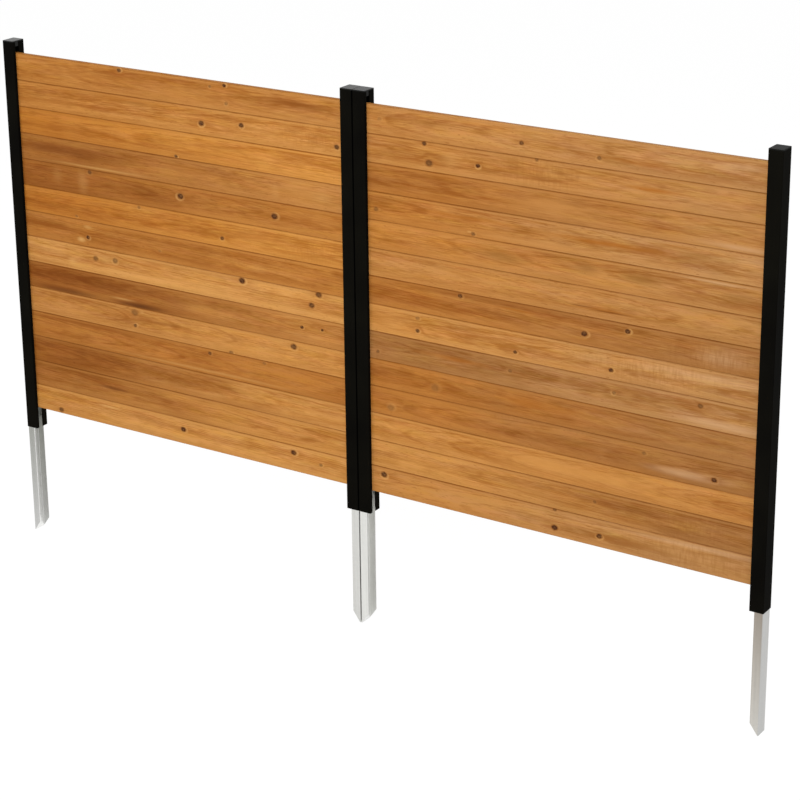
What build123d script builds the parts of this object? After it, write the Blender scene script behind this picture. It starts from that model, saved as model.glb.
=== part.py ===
from build123d import *
import os

# Wooden privacy screen: two panels of tongue-and-groove boards in slotted steel posts on ground stakes.
#
# All sizes are in millimetres and +Z is up. The origin is at the middle of the screen, on the ground line
# and on the front faces of the posts. +X runs along the screen, to the right as seen from the front, and
# +Y runs from the front to the back.

# Boards
BOARDS_PER_PANEL = 14
BOARD_LENGTH = 1219.2
BOARD_FACE = 79.375  # height of one board from joint to joint
BOARD_THICKNESS = 14.7
BOARD_EASE = 1.2  # chamfer along the edges of both faces
TONGUE_THICKNESS = 4.8
TONGUE_HEIGHT = 6.0
TONGUE_EASE = 0.8  # chamfer along the tip of the tongue
JOINT_CLEARANCE = 0.3  # between tongue and groove, on each side and at the tip
BOARD_END_ROOM = 6.8  # for the boards to swell, between their ends and the stakes

# Posts, folded from sheet steel
POST_WIDTH = 40.0  # along the screen
POST_DEPTH = 48.0  # from the front to the back
POST_WALL = 1.6
POST_BEND = 2.4  # outer radius of the folds
POST_FRONT_LIP = 10.5  # from the front face to the slot
SLOT_CLEARANCE = 0.4  # between the slot and each face of a board
GAP_BELOW = 67.0  # from the lower end of the post to the bottom board
GAP_ABOVE = 33.0  # from the top board to the upper end of the post

# Caps, moulded in plastic
CAP_PLATE = 3.0
CAP_EDGE = 1.3  # rounding of the upper edges
CAP_PLUG_DEPTH = 14.0
CAP_PLUG_WALL = 1.6
CAP_CLEARANCE = 0.3  # between the plug and the inside of the post

# Stakes, folded from galvanised sheet
STAKE_BELOW = 350.0  # from the ground line down to the point
STAKE_INSIDE = 260.0  # from the ground line up into the post
STAKE_SHEET = 2.0
STAKE_FLANGE = 24.0
STAKE_BEND = 3.2  # outer radius of the folds
STAKE_CLEARANCE = 0.4  # between the flanges and the walls of the post
STAKE_POINT_RISE = 33.0  # of the slanted cut, across the flange

# Screws, with a hexagon head on a washer flange
SCREW_SHANK = 4.8
SCREW_POINT = 4.0  # length of the tapered point
SCREW_WASHER = 10.6
SCREW_WASHER_THICKNESS = 1.1
SCREW_HEAD_FLATS = 8.0  # across the flats
SCREW_HEAD_HEIGHT = 4.2
STAKE_SCREW_LENGTH = 13.0
STAKE_SCREW_HEIGHTS = (25.0, 200.0)
HOLE_CLEARANCE = 0.1  # on the radius of every screw and bolt hole

# Bolts and nuts that join the two middle posts
BOLT_SHANK = 6.0
BOLT_LENGTH = 18.0
BOLT_FLATS = 10.0  # across the flats of the head and of the nut
BOLT_HEAD_HEIGHT = 4.0
NUT_HEIGHT = 5.0
LOWER_BOLT_HEIGHT = 36.0
UPPER_BOLT_DROP = 23.0  # from the upper end of the post down to the bolt

# Sizes that follow from the ones above
STACK_HEIGHT = BOARDS_PER_PANEL * BOARD_FACE
POST_HEIGHT = GAP_BELOW + STACK_HEIGHT + GAP_ABOVE
BOARD_START = POST_WALL + STAKE_SHEET + BOARD_END_ROOM  # from the outside of the post to the board's end
PANEL_WIDTH = BOARD_LENGTH + 2 * BOARD_START
SLOT_WIDTH = BOARD_THICKNESS + 2 * SLOT_CLEARANCE
BOARD_FRONT = POST_FRONT_LIP + SLOT_CLEARANCE
BOARD_MIDDLE = BOARD_FRONT + BOARD_THICKNESS / 2
STAKE_FRONT = POST_WALL + STAKE_CLEARANCE
STAKE_WIDTH = POST_DEPTH - 2 * STAKE_FRONT
SCREW_OFFSET = POST_WALL + (STAKE_SHEET + STAKE_FLANGE) / 2  # middle of the inside of the stake's flange
STOP_SCREW_LENGTH = POST_DEPTH - BOARD_FRONT + SCREW_POINT
STOP_SCREW_HEIGHT = GAP_BELOW - SCREW_SHANK / 2
UPPER_BOLT_HEIGHT = POST_HEIGHT - UPPER_BOLT_DROP

# Each post's name, the place of its outer face, and the way from there to the boards
STATIONS = (
    ("left_end", -PANEL_WIDTH, 1),
    ("left_middle", 0.0, -1),
    ("right_middle", 0.0, 1),
    ("right_end", PANEL_WIDTH, -1),
)


def at_station(shape, outer_face, way):
    """Places a shape that was made with its post's outer face at X 0 and the boards towards +X."""
    if way < 0:
        shape = mirror(shape, about=Plane.YZ)
    return Pos(outer_face, 0, 0) * shape


def box_between(low, high):
    """A plain block from its lowest corner to its highest."""
    size = [high[axis] - low[axis] for axis in range(3)]
    return Pos(*low) * Box(*size, align=(Align.MIN, Align.MIN, Align.MIN))


def rounded_plan(inset, radius, height):
    """A block over the post's outline, inset all round, with rounded upright edges, up from Z 0."""
    outline = RectangleRounded(POST_WIDTH - 2 * inset, POST_DEPTH - 2 * inset, radius)
    return Pos(POST_WIDTH / 2, POST_DEPTH / 2, 0) * extrude(outline, height)


def rear_screw_hole(height):
    """Cuts a screw's hole through the rear of a post and of the stake in it."""
    radius = SCREW_SHANK / 2 + HOLE_CLEARANCE
    reach = POST_WALL + STAKE_CLEARANCE + STAKE_SHEET + POST_BEND
    drill = Cylinder(radius, 2 * reach, rotation=(90, 0, 0))
    return Pos(SCREW_OFFSET, POST_DEPTH, height) * drill


def web_bolt_hole(height):
    """Cuts a bolt's hole through the outer web of a middle post and of the stake in it."""
    radius = BOLT_SHANK / 2 + HOLE_CLEARANCE
    reach = POST_WALL + STAKE_SHEET + POST_BEND
    drill = Cylinder(radius, 2 * reach, rotation=(0, 90, 0))
    return Pos(0, POST_DEPTH / 2, height) * drill


def screw_heights():
    """Every height at which a screw enters the rear of a post."""
    return (STOP_SCREW_HEIGHT,) + STAKE_SCREW_HEIGHTS


def board_section(has_tongue):
    """The outline of one board in the YZ plane, standing on Z 0 and centred on its thickness."""
    half = BOARD_THICKNESS / 2
    tongue = TONGUE_THICKNESS / 2
    groove = tongue + JOINT_CLEARANCE
    groove_top = TONGUE_HEIGHT + JOINT_CLEARANCE
    top = BOARD_FACE
    side = [
        (groove, groove_top),
        (groove, 0),
        (half - BOARD_EASE, 0),
        (half, BOARD_EASE),
        (half, top - BOARD_EASE),
        (half - BOARD_EASE, top),
    ]
    if has_tongue:
        tip = top + TONGUE_HEIGHT
        side += [(tongue, top), (tongue, tip - TONGUE_EASE), (tongue - TONGUE_EASE, tip)]
    other_side = [(-across, up) for across, up in reversed(side)]
    outline = Polyline(*side, *other_side, close=True)
    return Plane.YZ * make_face(outline)


def board(number):
    """One board of a panel, with its left end at X 0. The top board's tongue is trimmed off."""
    section = board_section(has_tongue=number < BOARDS_PER_PANEL)
    height = GAP_BELOW + (number - 1) * BOARD_FACE
    return Pos(0, BOARD_MIDDLE, height) * extrude(section, BOARD_LENGTH, dir=(1, 0, 0))


def post(joins_another):
    """A folded hollow section with a slot towards the boards, nearer to its front than to its back."""
    inner_bend = POST_BEND - POST_WALL
    shell = rounded_plan(0, POST_BEND, POST_HEIGHT) - rounded_plan(POST_WALL, inner_bend, POST_HEIGHT)
    slot_low = (POST_WIDTH - 2 * POST_WALL, POST_FRONT_LIP, 0)
    slot_high = (POST_WIDTH + POST_WALL, POST_FRONT_LIP + SLOT_WIDTH, POST_HEIGHT)
    shell -= box_between(slot_low, slot_high)
    for height in screw_heights():
        shell -= rear_screw_hole(height)
    if joins_another:
        shell -= web_bolt_hole(LOWER_BOLT_HEIGHT)
        shell -= web_bolt_hole(UPPER_BOLT_HEIGHT)
    return shell


def cap():
    """A flat lid flush with the post's outside, and a hollow plug that fits inside the post."""
    lid = rounded_plan(0, POST_BEND, CAP_PLATE)
    lid = fillet(lid.edges().group_by(Axis.Z)[-1], CAP_EDGE)
    plug_inset = POST_WALL + CAP_CLEARANCE
    plug_corner = POST_BEND - POST_WALL
    plug = rounded_plan(plug_inset, plug_corner, CAP_PLUG_DEPTH)
    hollow_inset = plug_inset + CAP_PLUG_WALL
    plug -= rounded_plan(hollow_inset, plug_corner, CAP_PLUG_DEPTH)
    return Pos(0, 0, POST_HEIGHT) * (lid + Pos(0, 0, -CAP_PLUG_DEPTH) * plug)


def channel_plan(inset, bend):
    """The stake's outline in plan, inset from its web and flanges, and open towards the boards."""
    width = STAKE_WIDTH - 2 * inset
    plan = Pos(POST_WALL + inset, POST_DEPTH / 2) * Rectangle(
        STAKE_FLANGE, width, align=(Align.MIN, Align.CENTER)
    )
    return fillet(plan.vertices().group_by(Axis.X)[0], bend)


def stake(joins_another):
    """A U-channel with its web against the post's outer web, and its lower end cut aslant to a point."""
    outside = channel_plan(0, STAKE_BEND)
    inside = channel_plan(STAKE_SHEET, STAKE_BEND - STAKE_SHEET)
    channel = Pos(0, 0, -STAKE_BELOW) * extrude(outside - inside, STAKE_BELOW + STAKE_INSIDE)

    cut_reach = 2 * STAKE_FLANGE
    cut_rise = 2 * STAKE_POINT_RISE
    cut_points = ((POST_WALL, 0), (POST_WALL + cut_reach, 0), (POST_WALL + cut_reach, cut_rise))
    wedge = extrude(Plane.XZ * make_face(Polyline(*cut_points, close=True)), -POST_DEPTH)
    channel -= Pos(0, 0, -STAKE_BELOW) * wedge

    for height in screw_heights():
        channel -= rear_screw_hole(height)
    if joins_another:
        channel -= web_bolt_hole(LOWER_BOLT_HEIGHT)
    return channel


def hexagon(flats, height):
    """A hexagonal block up from Z 0."""
    return extrude(RegularPolygon(flats / 2, 6, major_radius=False), height)


def screw(length):
    """A pointed screw along Z, with its washer resting on Z 0 and its point down."""
    shank = SCREW_SHANK / 2
    washer = SCREW_WASHER / 2
    outline = Polyline(
        (0, -length),
        (shank, SCREW_POINT - length),
        (shank, 0),
        (washer, 0),
        (washer, SCREW_WASHER_THICKNESS / 2),
        (SCREW_HEAD_FLATS / 2, SCREW_WASHER_THICKNESS),
        (0, SCREW_WASHER_THICKNESS),
        close=True,
    )
    turned = revolve(Plane.XZ * make_face(outline), Axis.Z)
    head = Pos(0, 0, SCREW_WASHER_THICKNESS) * hexagon(SCREW_HEAD_FLATS, SCREW_HEAD_HEIGHT)
    return turned + head


def rear_screw(length, height):
    """A screw put into a post from the rear, with its washer on the post's rear face."""
    return Pos(SCREW_OFFSET, POST_DEPTH, height) * Rot(-90, 0, 0) * screw(length)


def joining_bolt(seat, height):
    """A bolt that passes to +X, with the underside of its head at X seat."""
    shank = Pos(0, 0, BOLT_LENGTH / 2) * Cylinder(BOLT_SHANK / 2, BOLT_LENGTH)
    head = Pos(0, 0, -BOLT_HEAD_HEIGHT) * hexagon(BOLT_FLATS, BOLT_HEAD_HEIGHT)
    return Pos(seat, POST_DEPTH / 2, height) * Rot(0, 90, 0) * (head + shank)


def joining_nut(seat, height):
    """A nut with its near face at X seat."""
    bore = Pos(0, 0, NUT_HEIGHT / 2) * Cylinder(BOLT_SHANK / 2 + HOLE_CLEARANCE, NUT_HEIGHT)
    return Pos(seat, POST_DEPTH / 2, height) * Rot(0, 90, 0) * (hexagon(BOLT_FLATS, NUT_HEIGHT) - bore)


def write(name, shape):
    export_step(shape, f"parts/{name}.step")


def write_boards():
    panels = (("left", -PANEL_WIDTH + BOARD_START), ("right", BOARD_START))
    for number in range(1, BOARDS_PER_PANEL + 1):
        one = board(number)
        for side, left_end in panels:
            write(f"{side}_panel_board_{number:02d}", Pos(left_end, 0, 0) * one)


def write_posts():
    one_cap = cap()
    for name, outer_face, way in STATIONS:
        joins_another = name.endswith("middle")
        write(f"{name}_post", at_station(post(joins_another), outer_face, way))
        write(f"{name}_cap", at_station(one_cap, outer_face, way))
        write(f"{name}_stake", at_station(stake(joins_another), outer_face, way))


def write_screws():
    stop_screw = rear_screw(STOP_SCREW_LENGTH, STOP_SCREW_HEIGHT)
    stop_screws = [at_station(stop_screw, outer_face, way) for name, outer_face, way in STATIONS]
    write("board_stop_screws", Compound(children=stop_screws))
    stake_screws = []
    for height in STAKE_SCREW_HEIGHTS:
        stake_screw = rear_screw(STAKE_SCREW_LENGTH, height)
        stake_screws += [at_station(stake_screw, outer_face, way) for name, outer_face, way in STATIONS]
    write("stake_screws", Compound(children=stake_screws))


def write_bolts():
    lower_seat = POST_WALL + STAKE_SHEET
    upper_seat = POST_WALL
    seats = ((lower_seat, LOWER_BOLT_HEIGHT), (upper_seat, UPPER_BOLT_HEIGHT))
    write("joining_bolts", Compound(children=[joining_bolt(-seat, height) for seat, height in seats]))
    write("joining_nuts", Compound(children=[joining_nut(seat, height) for seat, height in seats]))


os.makedirs("parts", exist_ok=True)
write_boards()
write_posts()
write_screws()
write_bolts()
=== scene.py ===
"""Finishes a wooden privacy screen: stained boards, black posts and caps, galvanised stakes and their screws.

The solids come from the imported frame, in metres, with +X along the screen, +Y to its back and +Z up. This
file gives each of them its finish, and adds the pale stage, the lamps and the camera.
"""

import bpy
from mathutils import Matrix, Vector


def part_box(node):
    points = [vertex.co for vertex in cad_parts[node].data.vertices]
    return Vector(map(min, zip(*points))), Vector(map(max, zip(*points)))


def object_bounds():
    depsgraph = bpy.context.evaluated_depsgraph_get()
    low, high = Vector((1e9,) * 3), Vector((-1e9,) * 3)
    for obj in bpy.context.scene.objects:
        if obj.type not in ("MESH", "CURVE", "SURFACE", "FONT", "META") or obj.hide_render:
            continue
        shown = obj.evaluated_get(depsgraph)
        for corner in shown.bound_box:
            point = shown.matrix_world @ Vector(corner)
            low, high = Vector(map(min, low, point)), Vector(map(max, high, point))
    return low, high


bl_info = {
    "name": "Wooden Privacy Screen",
    "version": (1, 0, 0),
    "blender": (4, 5, 0),
    "location": "3D View > Sidebar > Privacy Screen",
    "description": "Finishes the boards, posts, caps, stakes and fasteners of a privacy screen",
    "category": "Object",
}

import math
import random

import bpy
from mathutils import Matrix, Vector

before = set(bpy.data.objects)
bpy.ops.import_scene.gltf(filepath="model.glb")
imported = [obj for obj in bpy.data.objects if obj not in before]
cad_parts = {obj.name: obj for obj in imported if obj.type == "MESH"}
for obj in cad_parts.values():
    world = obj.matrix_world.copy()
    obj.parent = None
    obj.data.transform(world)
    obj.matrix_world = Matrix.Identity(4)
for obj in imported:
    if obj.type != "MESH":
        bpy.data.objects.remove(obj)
CAD_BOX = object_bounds()

MM = 0.001  # metres in a millimetre
PICTURE_WIDTH = 800  # pixels
SENSOR_WIDTH = 36.0  # millimetres

# Places of the posts, from left to right
STATIONS = ("left_end", "left_middle", "right_middle", "right_end")

# The stain at the left and right end of each board, from the bottom board up. The tones also hold painted
# light: painted shade towards the left end of the left panel, and a painted sheen in the duller sand and fawn
# of the right panel
STAINS = {
    "left": (
        ("gold", "pale"),
        ("brown", "gold"),
        ("umber", "pale"),
        ("russet", "russet"),
        ("honey", "gold"),
        ("umber", "honey"),
        ("pale", "pale"),
        ("russet", "amber"),
        ("copper", "saffron"),
        ("umber", "amber"),
        ("brown", "honey"),
        ("copper", "saffron"),
        ("amber", "gold"),
        ("amber", "honey"),
    ),
    "right": (
        ("honey", "sand"),
        ("gold", "fawn"),
        ("gold", "honey"),
        ("russet", "fawn"),
        ("russet", "fawn"),
        ("fawn", "sand"),
        ("gold", "sand"),
        ("russet", "fawn"),
        ("honey", "tan"),
        ("amber", "tan"),
        ("amber", "sand"),
        ("russet", "tan"),
        ("honey", "tan"),
        ("honey", "sand"),
    ),
}

# Boards whose rings show as nested arches: the way the tips point, and millimetres up to the arches' middle
ARCHES = {
    ("left", 14): ("left", 40),
    ("left", 12): ("left", 44),
    ("left", 4): ("right", 30),
    ("left", 3): ("right", 38),
    ("left", 2): ("right", 44),
    ("right", 14): ("left", 46),
    ("right", 13): ("right", 44),
    ("right", 12): ("left", 42),
    ("right", 9): ("right", 36),
    ("right", 6): ("right", 46),
    ("right", 5): ("right", 40),
    ("right", 4): ("left", 34),
    ("right", 3): ("left", 36),
}

# Knots by panel and board: millimetres from the board's left end and up from its lower edge, radius, and how
# strongly it shows
KNOTS = {
    ("left", 14): ((420, 72, 6, 0.9), (745, 64, 4, 0.6), (795, 72, 5.5, 1.0), (800, 22, 5, 0.5)),
    ("left", 13): ((710, 34, 8, 1.0), (850, 46, 7, 1.0), (1170, 27, 7, 0.9)),
    ("left", 12): ((615, 5, 5, 0.9),),
    ("left", 10): ((290, 72, 7, 0.7), (625, 48, 9, 1.0), (955, 38, 9, 1.0)),
    ("left", 9): ((470, 72, 5, 0.5), (770, 25, 5.5, 0.9), (230, 9, 4, 0.5)),
    ("left", 8): ((270, 29, 6, 1.0), (540, 30, 4, 0.3)),
    ("left", 7): (
        (295, 47, 8, 0.65),
        (370, 52, 8, 0.65),
        (835, 69, 9, 1.0),
        (1100, 72, 8.5, 0.9),
        (1075, 37, 8, 0.9),
    ),
    ("left", 6): ((1040, 46, 5, 1.0), (1110, 50, 4, 1.0)),
    ("left", 5): ((435, 62, 10.5, 0.5), (435, 22, 5.5, 0.8), (1010, 62, 8.5, 0.9), (788, 3, 6, 0.6)),
    ("left", 4): ((710, 66, 5.5, 0.8), (905, 72, 5, 0.4)),
    ("left", 1): ((125, 11, 7.5, 0.8), (600, 45, 8, 1.0), (1000, 57, 8, 1.0), (1095, 39, 5, 0.6)),
    ("right", 14): ((70, 43, 5.5, 0.3), (505, 35, 6, 0.9), (730, 26, 6, 0.65)),
    ("right", 13): ((210, 74, 6, 0.9), (225, 23, 10, 0.75), (375, 36, 6, 1.0), (550, 77, 5, 0.6)),
    ("right", 11): ((55, 31, 6.5, 0.5), (360, 8, 5.5, 0.7)),
    ("right", 8): ((320, 69, 6.5, 0.9), (695, 31, 8.5, 1.0), (820, 60, 7, 1.0)),
    ("right", 7): ((185, 62, 5.5, 0.5), (185, 26, 5.5, 0.9), (490, 22, 5, 0.9), (775, 26, 6, 1.0)),
    ("right", 6): ((55, 22, 5, 0.6), (475, 46, 5.5, 0.5), (785, 45, 5, 0.6), (1030, 58, 7, 0.65)),
    ("right", 5): ((240, 31, 10.5, 0.35),),
    ("right", 4): ((95, 24, 9.5, 0.35), (875, 56, 5.5, 0.5), (1075, 25, 7, 1.0)),
    ("right", 2): ((735, 47, 5, 0.5),),
    ("right", 1): ((70, 58, 8.5, 1.0), (615, 25, 8.5, 1.0), (750, 32, 7.5, 1.0), (615, 77, 5, 0.8)),
}

# Soft patches by panel and board: kind, millimetres along and up to the middle, half length, half height and
# strength
PATCHES = {
    ("left", 14): (
        ("dark", 1040, 48, 170, 17, 1.0),
        ("dark", 420, 24, 160, 7, 0.4),
        ("light", 280, 40, 240, 24, 0.5),
        ("light", 640, 34, 260, 30, 0.6),
        ("pale", 800, 22, 14, 10, 0.5),
    ),
    ("left", 13): (
        ("rust", 400, 66, 330, 16, 0.7),
        ("olive", 480, 62, 120, 8, 0.5),
        ("light", 150, 24, 200, 24, 0.5),
        ("light", 960, 30, 120, 30, 0.4),
        ("sawn", 1090, 40, 200, 60, 0.8),
    ),
    ("left", 12): (("light", 780, 40, 330, 30, 0.5), ("rust", 130, 30, 200, 40, 0.4)),
    ("left", 11): (
        ("dark", 230, 42, 330, 30, 1.0),
        ("light", 620, 40, 200, 40, 0.5),
        ("light", 200, 66, 200, 9, 0.5),
        ("pale", 330, 7, 260, 6, 0.4),
        ("light", 1050, 40, 130, 44, 0.7),
        ("pale", 960, 34, 22, 40, 0.15),
        ("pale", 1120, 40, 60, 34, 0.2),
    ),
    ("left", 10): (
        ("pale", 262, 40, 30, 60, 0.2),
        ("pale", 165, 44, 30, 40, 0.12),
        ("dark", 480, 44, 260, 30, 0.4),
        ("dark", 1010, 34, 120, 20, 0.4),
        ("light", 1090, 52, 160, 30, 0.5),
        ("light", 700, 6, 500, 8, 0.7),
    ),
    ("left", 9): (("sawn", 1080, 35, 190, 60, 0.8), ("light", 900, 40, 200, 40, 0.4)),
    ("left", 8): (
        ("pale", 244, 20, 24, 12, 0.75),
        ("pale", 270, 62, 26, 9, 0.4),
        ("pale", 890, 34, 60, 18, 0.15),
        ("dark", 620, 40, 260, 40, 0.5),
        ("dark", 130, 50, 130, 20, 0.5),
        ("dark", 1100, 40, 120, 34, 0.3),
    ),
    ("left", 7): (
        ("light", 650, 22, 640, 26, 0.5),
        ("pale", 130, 46, 130, 18, 0.3),
        ("pale", 205, 26, 26, 16, 0.4),
        ("pale", 332, 50, 66, 16, 0.3),
        ("dark", 620, 70, 400, 10, 0.4),
        ("dark", 100, 8, 160, 10, 0.5),
    ),
    ("left", 6): (
        ("dark", 330, 44, 300, 30, 0.4),
        ("dark", 480, 7, 190, 14, 1.0),
        ("dark", 150, 8, 170, 14, 1.0),
        ("dark", 560, 40, 130, 36, 0.4),
        ("scar", 460, 4, 130, 13, 0.6),
        ("scar", 190, 4, 170, 10, 0.4),
        ("pale", 390, 17, 70, 5, 0.4),
        ("light", 700, 24, 120, 20, 0.4),
    ),
    ("left", 5): (
        ("dark", 560, 46, 130, 8, 0.5),
        ("pale", 462, 68, 14, 8, 0.4),
        ("light", 200, 24, 180, 26, 0.5),
        ("light", 800, 24, 300, 24, 0.5),
    ),
    ("left", 4): (
        ("dark", 300, 68, 420, 14, 0.6),
        ("light", 150, 40, 170, 20, 0.7),
        ("light", 760, 44, 80, 30, 0.4),
        ("pale", 700, 8, 500, 7, 0.3),
    ),
    ("left", 3): (("dark", 250, 62, 420, 20, 0.15), ("light", 1120, 34, 140, 16, 0.7)),
    ("left", 2): (
        ("scar", 340, 44, 85, 7, 0.5),
        ("dark", 370, 44, 170, 9, 0.7),
        ("light", 600, 64, 400, 10, 0.6),
        ("light", 760, 16, 300, 14, 0.5),
    ),
    ("left", 1): (("pale", 320, 58, 70, 5, 0.7), ("light", 600, 30, 400, 26, 0.15)),
    ("right", 14): (
        ("dark", 200, 50, 260, 20, 0.4),
        ("rust", 850, 30, 110, 14, 0.5),
        ("glare", 1110, 58, 150, 14, 0.3),
    ),
    ("right", 13): (
        ("rust", 885, 44, 120, 10, 1.0),
        ("sawn", 560, 40, 220, 60, 0.8),
        ("pale", 290, 42, 50, 26, 0.25),
        ("light", 1040, 40, 130, 16, 0.4),
    ),
    ("right", 12): (
        ("dark", 250, 60, 200, 10, 0.5),
        ("dark", 60, 30, 200, 30, 0.3),
        ("light", 600, 40, 260, 36, 0.9),
        ("glare", 1120, 10, 180, 12, 0.5),
    ),
    ("right", 11): (
        ("rust", 740, 44, 230, 12, 1.0),
        ("rust", 330, 50, 250, 10, 0.6),
        ("light", 500, 14, 560, 16, 0.7),
        ("olive", 1010, 50, 90, 24, 0.5),
        ("pale", 350, 12, 12, 5, 0.6),
        ("glare", 1180, 60, 90, 16, 0.4),
    ),
    ("right", 10): (
        ("olive", 700, 46, 60, 24, 0.8),
        ("olive", 850, 44, 90, 20, 0.9),
        ("olive", 450, 40, 120, 30, 0.5),
        ("olive", 1120, 40, 70, 24, 0.7),
        ("dark", 900, 46, 130, 8, 0.4),
        ("glare", 1080, 72, 160, 6, 0.6),
    ),
    ("right", 9): (
        ("scar", 770, 22, 90, 4.5, 0.9),
        ("scar", 690, 26, 70, 3, 0.6),
        ("rust", 760, 24, 150, 8, 0.6),
        ("light", 300, 50, 240, 20, 0.4),
    ),
    ("right", 8): (
        ("rust", 480, 58, 120, 5, 0.7),
        ("dark", 420, 70, 500, 14, 0.5),
        ("glare", 1090, 40, 110, 40, 0.4),
        ("sawn", 1060, 30, 240, 60, 0.9),
    ),
    ("right", 7): (
        ("glare", 1040, 56, 260, 20, 0.5),
        ("light", 100, 40, 130, 44, 0.5),
        ("sawn", 900, 40, 320, 60, 0.9),
    ),
    ("right", 6): (
        ("rust", 300, 44, 160, 12, 0.6),
        ("olive", 420, 26, 140, 16, 0.5),
        ("glare", 1090, 16, 200, 18, 0.6),
    ),
    ("right", 5): (("rust", 560, 44, 180, 22, 0.8), ("light", 1040, 20, 200, 16, 0.5)),
    ("right", 4): (
        ("light", 200, 66, 300, 14, 0.8),
        ("dark", 620, 40, 300, 26, 0.4),
        ("glare", 1000, 22, 170, 18, 0.55),
    ),
    ("right", 3): (("light", 620, 40, 320, 40, 0.8), ("light", 800, 40, 320, 28, 0.7)),
    ("right", 2): (
        ("dark", 850, 46, 260, 16, 0.3),
        ("light", 200, 30, 240, 30, 0.4),
        ("light", 560, 34, 200, 30, 0.5),
        ("sawn", 1000, 40, 260, 60, 0.7),
    ),
    ("right", 1): (
        ("glare", 1040, 67, 330, 11, 0.6),
        ("light", 380, 50, 240, 24, 0.5),
        ("light", 1040, 36, 260, 44, 0.8),
        ("sawn", 1010, 36, 330, 60, 1.0),
    ),
}


def linear(code):
    """Turns an sRGB hex colour into linear red, green and blue."""
    channels = [int(code[start:start + 2], 16) / 255 for start in (1, 3, 5)]
    return [c / 12.92 if c <= 0.04045 else ((c + 0.055) / 1.055) ** 2.4 for c in channels]


def opaque(colour):
    """A linear colour with full alpha, as a colour socket wants it."""
    return (*colour[:3], 1.0)


def add_node(tree, kind, inputs=None, stops=None, **settings):
    """Adds a shader node with its settings, its ramp's stops, and its inputs as values or links."""
    made = tree.nodes.new(f"ShaderNode{kind}")
    for name, value in settings.items():
        setattr(made, name, value)
    if stops:
        elements = made.color_ramp.elements
        elements.remove(elements[1])
        elements[0].position = stops[0][0]
        elements[0].color = stops[0][1]
        for place, colour in stops[1:]:
            elements.new(place).color = colour
    for name, value in (inputs or {}).items():
        if isinstance(value, bpy.types.NodeSocket):
            tree.links.new(value, made.inputs[name])
        else:
            made.inputs[name].default_value = value
    return made.outputs


def new_material(name):
    """A material with an empty node tree."""
    finish = bpy.data.materials.new(name)
    finish.use_nodes = True
    finish.node_tree.nodes.clear()
    return finish


def give(node, finish):
    """Puts a finish in every material slot of a solid."""
    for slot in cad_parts[node].material_slots:
        slot.material = finish


# Stained softwood. Sizes are in millimetres, and three of them run along, through and up the board

NOISE_SPREAD = 50  # cells of noise over which the patterns of the boards start
NOISE_ROUGHNESS = 0.55
RING_WIDTHS = (3.5, 6.0)  # from ring to ring, in a slow-grown board and in a fast-grown one
RINGS_IN_BAND = 4  # rings that take the stain alike
BAND_SPREAD = 90  # cells of noise over which the bands of the boards start
PITH_DEPTHS = (14, 45)  # behind the face, at the board's end that was nearer to the middle of the log
PITH_HEIGHTS = (-20, 100)  # above the lower edge
TAPERS = (0.020, 0.045)  # slope of the rings against the face
TILTS = (-0.012, 0.012)  # slope of the rings against the lower edge
LATE_WOOD = (-0.2, -1.0)  # part of a ring's cosine that is late wood
WANDER_LENGTH = 420.0  # along the board, over which the grain swings once
WANDER_REACH = (0.0, 7.0, 10.0)  # that the grain swings, in depth and in height
WOBBLE_LENGTH = 70.0
WOBBLE_REACH = (0.0, 2.0, 3.0)
SWING_SQUEEZE = 4  # how much shorter a swing is up the board than along it
STREAK_LENGTHS = (450, 900)
STREAK_HEIGHTS = (20, 44)
MOTTLE_SIZE = (85.0, 38.0, 38.0)
FIBRE_SIZE = (42.0, 2.2, 2.2)  # wider than a real fibre, so that it shows
FLECK_SIZE = (17.0, 2.2, 2.2)
FLECK_LEVELS = (0.71, 0.82)  # of the noise, between which a short dark fleck comes up
FLECK_SHARE = 0.42
DRIFT_SIZE = (300.0, 55.0, 55.0)  # over which the stain's strength drifts
TONE_SPAN = (0.1, 0.9)  # shares of the length between which the tone changes from one end's to the other's
HUE_SIZE = (110.0, 16.0, 16.0)  # over which the stain turns redder or yellower
HUE_REACH = (0.18, 0.14, 0.76)  # of that change in red, green and blue
HUE_START = (0.91, 0.93, 0.62)  # leaves the mean as it is
PATCH_EDGE = (1.0, 0.0)  # a patch fades from its middle to its edge
BREAK_SIZE = (240.0, 26.0, 26.0)  # of the gaps that break up a patch of stain
BREAK_LEVELS = (0.3, 0.6)
BREAK_LEAST = 0.5  # share of a patch that is left in a gap
SAW_SIZE = (6.4, 30.0, 30.0)  # from one mark of the saw to the next, and over which a mark fades
SAW_LEVELS = (0.42, 0.66)
SAW_SHADE = 0.4  # how dark a mark is
SAW_RELIEF = 0.6  # how deep a mark is beside the grain
SAWN_LEVELS = (0.55, 0.75)  # of the stain's drift, between which marks show outside the sawn patches
SAWN_SHARE = 0.3
LOWER_EDGE = ((30.0, 4.0), 0.62)  # heights where the pale edge starts and is palest, and how pale that is
# the paleness along the upper edge is a painted highlight on its eased edge
UPPER_HIGHLIGHT = ((68.5, 74.5), 1.0)
ARRIS = (77.8, 75.0)  # where the painted highlight along the upper edge gives way to the joint
LOWER_SEAM = ((2.0, 0.4), 0.5)  # heights where a joint's stain and painted groove shade start and are full, and how dark they are
UPPER_SEAM = ((75.4, 78.4), 0.44)
SEAM_LEVELS = (0.2, 0.6)  # of the stain's drift, between which more of it gathered in a joint
SEAM_LEAST = 0.55
KNOT_WAVE = 9.0  # over which a knot's outline swings once
KNOT_WAVE_REACH = (5.0, 0.0, 5.0)
KNOT_STRETCH = 1.25  # a knot is this much longer along the board than across it
KNOT_EDGE = (1.45, 0.75)  # distances between which a knot comes up, in knot radii
KNOT_STOPS = (0.1, 0.62, 0.98)  # distances of a knot's heart, ring and rim
KNOT_FARTHEST = 9.0  # greatest distance that is told apart
KNOT_SWELL = 0.6  # rings that a knot pushes aside
KNOT_SWELL_FALL = -0.16  # how fast that falls with the square of the distance
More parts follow.
